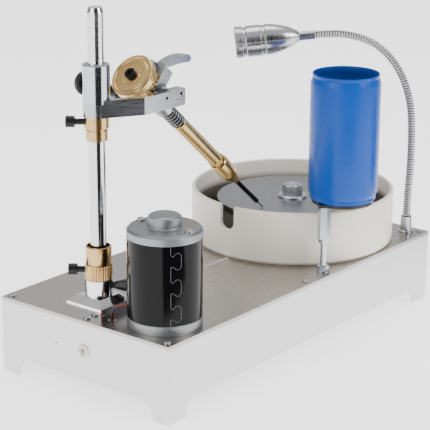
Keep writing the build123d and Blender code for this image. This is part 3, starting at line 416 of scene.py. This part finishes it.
lamp_axis = (middle("lamp_bezel") - middle("lamp_lens")).normalized()
materials = {
    "plate": brushed("brushed_plate", (0.41, 0.39, 0.37), 0.28, (6, 900, 900), 0.07, 0.12,
                     tint=(0.52, 0.495, 0.47)),
    "panel": brushed("satin_panel", (0.76, 0.76, 0.765), 0.38, (8, 8, 1100), 0.06, 0.06,
                     tint=(0.82, 0.82, 0.825), metallic=0.5),
    "bar": brushed("aluminium_bar", (0.70, 0.71, 0.72), 0.4, (900, 900, 12)),
    "fastener": moulded("bright_screw", (0.55, 0.56, 0.58), 0.3, metallic=1.0),
    "cream": moulded("cream_plastic", (0.90, 0.84, 0.75), 0.42, 700, 0.06, 0.05, tint=(0.87, 0.80, 0.70)),
    "bowl": under_lap_shaded_plastic(),
    "cast": moulded("cast_grey", (0.25, 0.26, 0.27), 0.42, 1500, 0.1, 0.35, tint=(0.33, 0.34, 0.35),
                    metallic=0.9),
    "film": moulded("gloss_film", (0.003, 0.003, 0.0035), 0.12, 160, 0.03, 0.04, Specular_IOR_Level=0.16),
    "seam": moulded("film_seam", (0.05, 0.05, 0.052), 0.16, 900, Specular_IOR_Level=1.0),
    "bracket": brushed("bracket_steel", (0.40, 0.41, 0.44), 0.2, (60, 60, 1500), 0.06, 0.12,
                       tint=(0.48, 0.49, 0.51)),
    "rubber": moulded("belt_rubber", (0.02, 0.02, 0.02), 0.7, 1200),
    "lap": turned("lap_metal", (0.25, 0.265, 0.29), 0.32, bowl, UP, 0.08, 0.25, tint=(0.33, 0.345, 0.37),
                  pitch=900),
    "zinc": moulded("zinc_plate", ZINC, 0.24, 1200, 0.08, 0.1, tint=(0.58, 0.61, 0.65), metallic=1.0),
    "foot": brushed("foot_chrome", (0.86, 0.86, 0.88), 0.09, (40, 900, 900), 0.04, 0.05),
    "rod": turned("ground_rod", (0.74, 0.74, 0.76), 0.12, mast, UP, 0.05, 0.12),
    "sleeve": brushed("sleeve_steel", (0.52, 0.53, 0.55), 0.14, (900, 900, 30), 0.05, 0.1),
    "black": moulded("black_plastic", (0.012, 0.012, 0.013), 0.4, 1400, 0.08, 0.15),
    "ring_brass": turned("mast_brass", BRASS, 0.2, mast, UP, 0.06, 0.3, tint=(0.56, 0.36, 0.15)),
    "wheel_brass": turned("wheel_brass", BRASS_LIGHT, 0.27, pivot, quill, 0.09, 0.45, tint=(0.76, 0.50, 0.20),
                          pitch=1700),
    "handle_brass": turned("handle_brass", HANDLE_BRASS, 0.24, pivot, quill, 0.07, 0.2,
                           tint=(0.72, 0.52, 0.22)),
    "screw": moulded("black_oxide", (0.015, 0.015, 0.017), 0.33, 1500, 0.08, 0.1, metallic=0.6),
    "quill_steel": turned("quill_steel", (0.50, 0.50, 0.52), 0.22, pivot, quill),
    "carriage": brushed("carriage_steel", (0.40, 0.41, 0.43), 0.24, (1200, 60, 1200), 0.08, 0.2,
                        tint=(0.50, 0.51, 0.53)),
    "dop": turned("dop_steel", (0.055, 0.055, 0.06), 0.3, pivot, quill),
    "can": moulded("can_blue", (0.0, 0.062, 0.36), 0.3, 120, 0.04, 0.0, tint=(0.0, 0.066, 0.38),
                   Specular_IOR_Level=0.25),
    "tap_brass": moulded("tap_brass", BRASS, 0.28, 900, metallic=1.0),
    "lamp": turned("lamp_aluminium", (0.50, 0.50, 0.52), 0.24, middle("lamp_lens"), lamp_axis, 0.08, 0.2),
    "neck": turned("neck_chrome", (0.55, 0.55, 0.57), 0.16, lamp_foot, UP, 0.05, 0.0),
    # painted shade: dark colour for the bottoms of the gooseneck's corrugations
    "neck_groove_shade": moulded("neck_groove_shade", (0.045, 0.045, 0.05), 0.4, 900, metallic=0.8),
    "lens": moulded("lamp_lens", (0.96, 0.98, 1.0), 0.06, 1600, 0.03, 0.04, Transmission_Weight=1.0,
                    IOR=1.49),
    "led": moulded("led_reflector", (0.88, 0.88, 0.86), 0.15, 900, metallic=1.0),
    "red": moulded("red_insulation", (0.55, 0.012, 0.012), 0.35, 900, Coat_Weight=0.2),
    "black_wire": moulded("black_insulation", (0.01, 0.01, 0.01), 0.35, 900, Coat_Weight=0.2),
    "spring": moulded("spring_steel", (0.22, 0.22, 0.23), 0.22, 1500, metallic=1.0),
}

# ---------------------------------------------------------------- finer copies of the machined pieces
# node: (material, width of the broken edge in millimetres)
LOOKS = {
    "top_plate": ("plate", 0.12),
    "front_panel": ("panel", 0.5),
    "rear_panel": ("panel", 0.5),
    "left_end_panel": ("panel", 0.5),
    "right_end_panel": ("panel", 0.5),
    "joining_blocks": ("bar", 0.3),
    "plate_screws": ("fastener", 0.2),
    "deck_screws": ("fastener", 0.2),
    "inlet_socket": ("cream", 0.15),
    "motor_lower_cap": ("cast", 0.5),
    "motor_shell": ("film", 0.2),
    "motor_upper_cap": ("cast", 0.5),
    "motor_tie_bolts": ("fastener", 0.2),
    "bearing_housing": ("bar", 0.3),
    "motor_pulley": ("bar", 0.2),
    "spindle_pulley": ("bar", 0.2),
    "spindle": ("zinc", 0.2),
    "lap_disc": ("lap", 0.15),
    "lap_washer": ("zinc", 0.2),
    "lap_nut": ("zinc", 0.3),
    "splash_bowl": ("bowl", 0.5),
    "mast_foot": ("foot", 0.5),
    "mast_rod": ("rod", 0.3),
    "foot_bolt": ("fastener", 0.3),
    "mast_clamp_knob": ("black", 0.3),
    "adjusting_ring": ("ring_brass", 0.12),
    "ring_screw": ("screw", 0.25),
    "stop_collar": ("ring_brass", 0.25),
    "stop_screw": ("screw", 0.25),
    "head_sleeve": ("sleeve", 0.3),
    "head_lock_knob": ("black", 0.3),
    "head_bracket": ("bracket", 0.3),
    "pivot_screws": ("fastener", 0.15),
    "quill_carriage": ("carriage", 0.4),
    "index_wheel": ("wheel_brass", 0.15),
    "index_screw": ("screw", 0.25),
    "index_trigger": ("carriage", 0.6),
    "quill_handle": ("handle_brass", 0.2),
    "collet_chuck": ("handle_brass", 0.2),
    "dop_stick": ("dop", 0.1),
    "stud_nuts": ("zinc", 0.3),
    "tank_post": ("zinc", 0.25),
    "tank_holder": ("black", 0.3),
    "drip_tank": ("can", 0.15),
    "drip_tap": ("tap_brass", 0.2),
    "tap_lever": ("tap_brass", 0.3),
    "lamp_socket": ("lamp", 0.2),
    "lamp_shell": ("lamp", 0.15),
    "lamp_bezel": ("lamp", 0.12),
}
# these keep their own solids and only take a material
PLAIN = {
    "drive_belt": "rubber",
    "motor_rotor": "quill_steel",
    "spindle_bearings": "quill_steel",
    "quill_shaft": "quill_steel",
    "lamp_lens": "lens",
    "led_module": "led",
    "red_lead": "red",
    "black_lead": "black_wire",
}


# vertices closer than this are one, in metres; the angles are in degrees
WELD = 2e-6
FLAT_ANGLE = 0.6
SHARP_ANGLE = 28
BEVEL_ANGLE = 34


def paint(obj, material):
    """Give an object one material in place of those it has."""
    obj.data.materials.clear()
    obj.data.materials.append(material)


def place_piece(obj, node_name, material):
    """Give a new piece its material and the body it rides on, and hide the node it stands for."""
    paint(obj, material)
    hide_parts(node_name)
    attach(obj, body_of[node_name])


def refine(node_name, material, width):
    """A copy of a node whose edges are broken by a small bevel, with smooth round faces."""
    mesh = frame["nodes"][node_name].data.copy()
    bm = bmesh.new()
    bm.from_mesh(mesh)
    bmesh.ops.remove_doubles(bm, verts=bm.verts, dist=WELD)
    bmesh.ops.dissolve_limit(bm, angle_limit=radians(FLAT_ANGLE), verts=bm.verts, edges=bm.edges)
    bm.to_mesh(mesh)
    bm.free()
    obj = bpy.data.objects.new(node_name + "_fine", mesh)
    scene.collection.objects.link(obj)
    mesh.shade_smooth()
    mesh.set_sharp_from_angle(angle=radians(SHARP_ANGLE))
    bevel = obj.modifiers.new("broken_edges", "BEVEL")
    bevel.width = width * MM
    bevel.segments = 2
    bevel.limit_method = "ANGLE"
    bevel.angle_limit = radians(BEVEL_ANGLE)
    bevel.use_clamp_overlap = True
    bevel.harden_normals = True
    bevel.miter_outer = "MITER_ARC"
    place_piece(obj, node_name, material)


for node_name, (material_name, width) in LOOKS.items():
    refine(node_name, materials[material_name], width)
for node_name, material_name in PLAIN.items():
    paint(frame["nodes"][node_name], materials[material_name])


# ---------------------------------------------------------------- swept pieces
def sweep(name, points, radii, sides):
    """Closed tube through points, with a radius at each; its frame is carried along without twist."""
    bm = bmesh.new()
    tangent = (points[1] - points[0]).normalized()
    helper = UP if abs(tangent.z) < 0.9 else Vector((1, 0, 0))
    normal = (helper - tangent * helper.dot(tangent)).normalized()
    rings = []
    for i, point in enumerate(points):
        before = points[max(i - 1, 0)]
        after = points[min(i + 1, len(points) - 1)]
        tangent = (after - before).normalized()
        normal = (normal - tangent * normal.dot(tangent)).normalized()
        side = tangent.cross(normal)
        rings.append([
            bm.verts.new(point + (normal * cos(tau * k / sides) + side * sin(tau * k / sides)) * radii[i])
            for k in range(sides)
        ])
    for ring, following in zip(rings, rings[1:]):
        for k in range(sides):
            bm.faces.new((ring[k], ring[(k + 1) % sides], following[(k + 1) % sides], following[k]))
    bm.faces.new(list(reversed(rings[0])))
    bm.faces.new(rings[-1])
    bmesh.ops.recalc_face_normals(bm, faces=bm.faces)
    mesh = bpy.data.meshes.new(name)
    bm.to_mesh(mesh)
    bm.free()
    mesh.shade_smooth()
    obj = bpy.data.objects.new(name, mesh)
    scene.collection.objects.link(obj)
    return obj


# route of the gooseneck in the lamp's upright plane: out from its foot and up from the deck, in millimetres
NECK_ROUTE = [
    (0, 15), (0, 34), (-1.9, 68), (-1.5, 111.75), (1.8, 138),
    (12.5, 166.5), (34, 191), (63, 201.4), (92, 201.2), (112, 198.6),
]
ROUTE_STEPS = 60
# the neck ends where it enters the lamp, and is cut in two at a height between its two bends
NECK_END_OUT = 100
NECK_CUT_HEIGHT = 150
NECK_PITCH = 2.6
NECK_STEPS = 6
NECK_RIDGE = 3.98
NECK_GROOVE = 3.0
NECK_SIDES = 22
RIDGE_FULLNESS = 0.6


def smooth_route(route, step):
    """Evenly spaced points on a curve that touches the middle of each run of a route."""
    fine = []
    corners = route[1:-1]
    starts = [route[0]] + [((a[0] + b[0]) / 2, (a[1] + b[1]) / 2) for a, b in zip(corners, corners[1:])]
    ends = starts[1:] + [route[-1]]
    for first, corner, last in zip(starts, corners, ends):
        for i in range(ROUTE_STEPS):
            t = i / ROUTE_STEPS
            fine.append(tuple(
                (1 - t) ** 2 * first[axis] + 2 * t * (1 - t) * corner[axis] + t * t * last[axis]
                for axis in (0, 1)
            ))
    fine.append(route[-1])
    spaced = [fine[0]]
    left_over = 0.0
    for a, b in zip(fine, fine[1:]):
        length = sqrt((b[0] - a[0]) ** 2 + (b[1] - a[1]) ** 2)
        reach = step - left_over
        while reach <= length:
            share = reach / length
            spaced.append((a[0] + (b[0] - a[0]) * share, a[1] + (b[1] - a[1]) * share))
            reach += step
        left_over = length - (reach - step)
    return spaced


def neck_point(out, height):
    """Point in the lamp's upright plane, in millimetres out from its foot and up from the deck."""
    return lamp_foot + lamp_out * (out * MM) + UP * (height * MM)


def shade_grooves(piece):
    """The bottoms of the corrugations take a dark material: painted shade."""
    piece.data.materials.append(materials["neck_groove_shade"])
    half_band = 1
    for face in piece.data.polygons:
        step = (face.vertices[0] // NECK_SIDES) % NECK_STEPS
        if abs(step + 0.5 - NECK_STEPS / 2) < half_band:
            face.material_index = 1


def gooseneck():
    """Two corrugated lengths that meet between the neck's two bends."""
    route = smooth_route(NECK_ROUTE, NECK_PITCH / NECK_STEPS)
    route = [place for place in route if place[0] < NECK_END_OUT]
    points = [neck_point(*place) for place in route]
    shape = [0.5 + 0.5 * cos(tau * i / NECK_STEPS) for i in range(NECK_STEPS)]
    radii = [(NECK_GROOVE + (NECK_RIDGE - NECK_GROOVE) * shape[i % NECK_STEPS] ** RIDGE_FULLNESS) * MM
             for i in range(len(points))]
    cut = next(i for i, place in enumerate(route) if place[1] > NECK_CUT_HEIGHT)
    cut -= cut % NECK_STEPS
    lower = sweep("gooseneck_lower_rings", points[:cut + 1], radii[:cut + 1], NECK_SIDES)
    upper = sweep("gooseneck_upper_rings", points[cut:], radii[cut:], NECK_SIDES)
    for piece, replaced in ((lower, "gooseneck_lower"), (upper, "gooseneck_upper")):
        paint(piece, materials["neck"])
        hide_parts(replaced)
        shade_grooves(piece)
    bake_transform(lower)
    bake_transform(upper)


gooseneck()


# distances along the quill from its pivot, wire and coil radius, turns, and steps and sides of the tube
SPRING_START = 24.2 * MM
SPRING_END = 48.4 * MM
SPRING_WIRE = 0.95 * MM
SPRING_RADIUS = 6.25 * MM
SPRING_TURNS = 6.5
SPRING_STEPS = 40
SPRING_SIDES = 10


def spring():
    """Coil spring round the quill's shaft."""
    length = SPRING_END - SPRING_START
    # the end coils lie flat against their seats, over this share of a turn
    flat = 0.8
    seat = SPRING_WIRE * 1.9
    side = crossways
    up = quill.cross(side)
    total = int(SPRING_TURNS * SPRING_STEPS)
    points = []
    for i in range(total + 1):
        turn = i / SPRING_STEPS
        share = min(max((turn - flat) / (SPRING_TURNS - 2 * flat), 0.0), 1.0)
        closed = seat * (min(turn / flat, 1.0) + max((turn - SPRING_TURNS + flat) / flat, 0.0) - 1.0)
        height = SPRING_START + SPRING_WIRE + (length - 2 * SPRING_WIRE - 2 * seat) * share + seat + closed
        angle = tau * turn
        points.append(pivot + quill * height + (side * cos(angle) + up * sin(angle)) * SPRING_RADIUS)
    coil = sweep("quill_spring_coil", points, [SPRING_WIRE] * len(points), SPRING_SIDES)
    paint(coil, materials["spring"])
    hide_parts("quill_spring")
    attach(coil, "quill_spindle")
    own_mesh(coil)


spring()


# ---------------------------------------------------------------- interlocking seam of the motor's film
# direction and width of the seam, in degrees round the motor, and its bead
SEAM_START = -131.5
SEAM_WIDTH = 16.5
SEAM_MARGIN = 0.2 * MM
SEAM_BEAD = 0.24 * MM
SEAM_SIDES = 8
SEAM_TABS = 3
# one side of a tab, from its neck to its end: share of the seam's width, and how far in from the tab's edge
TAB_SIDE = [(0.1, 0.022), (0.24, 0.03), (0.45, -0.004), (0.7, -0.012), (0.9, 0.004), (1.0, 0.03)]
TAB_FOOT = 0.17
TAB_HEIGHT = 0.56
RUN_STEPS = 6


def film_seam():
    """Raised bead along the zigzag where the ends of the motor's film lock together."""
    low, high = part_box("motor_shell")
    radius = (high.x - low.x) / 2
    start_angle = radians(SEAM_START)
    width = radians(SEAM_WIDTH)
    bottom, top = low.z + SEAM_MARGIN, high.z - SEAM_MARGIN
    height = top - bottom
    outline = [(0.0, 0.0)]
    for i in range(SEAM_TABS):
        foot = (i + TAB_FOOT) / SEAM_TABS
        crown = foot + TAB_HEIGHT / SEAM_TABS
        outline.append((0.02, foot + 0.03))
        outline += [(across, foot + inset) for across, inset in TAB_SIDE]
        outline += [(across, crown - inset) for across, inset in reversed(TAB_SIDE)]
        outline.append((0.02, crown - 0.01))
    outline.append((0.0, 1.0))
    points = []
    for (a0, h0), (a1, h1) in zip(outline, outline[1:]):
        for i in range(RUN_STEPS):
            t = i / RUN_STEPS
            points.append((a0 + (a1 - a0) * t, h0 + (h1 - h0) * t))
    points.append(outline[-1])
    line = []
    for across, share in points:
        angle = start_angle + across * width
        line.append(Vector((
            motor.x + radius * cos(angle),
            motor.y + radius * sin(angle),
            bottom + share * height,
        )))
    bead = sweep("film_seam", line, [SEAM_BEAD] * len(line), SEAM_SIDES)
    paint(bead, materials["seam"])
    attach(bead, "base")


film_seam()
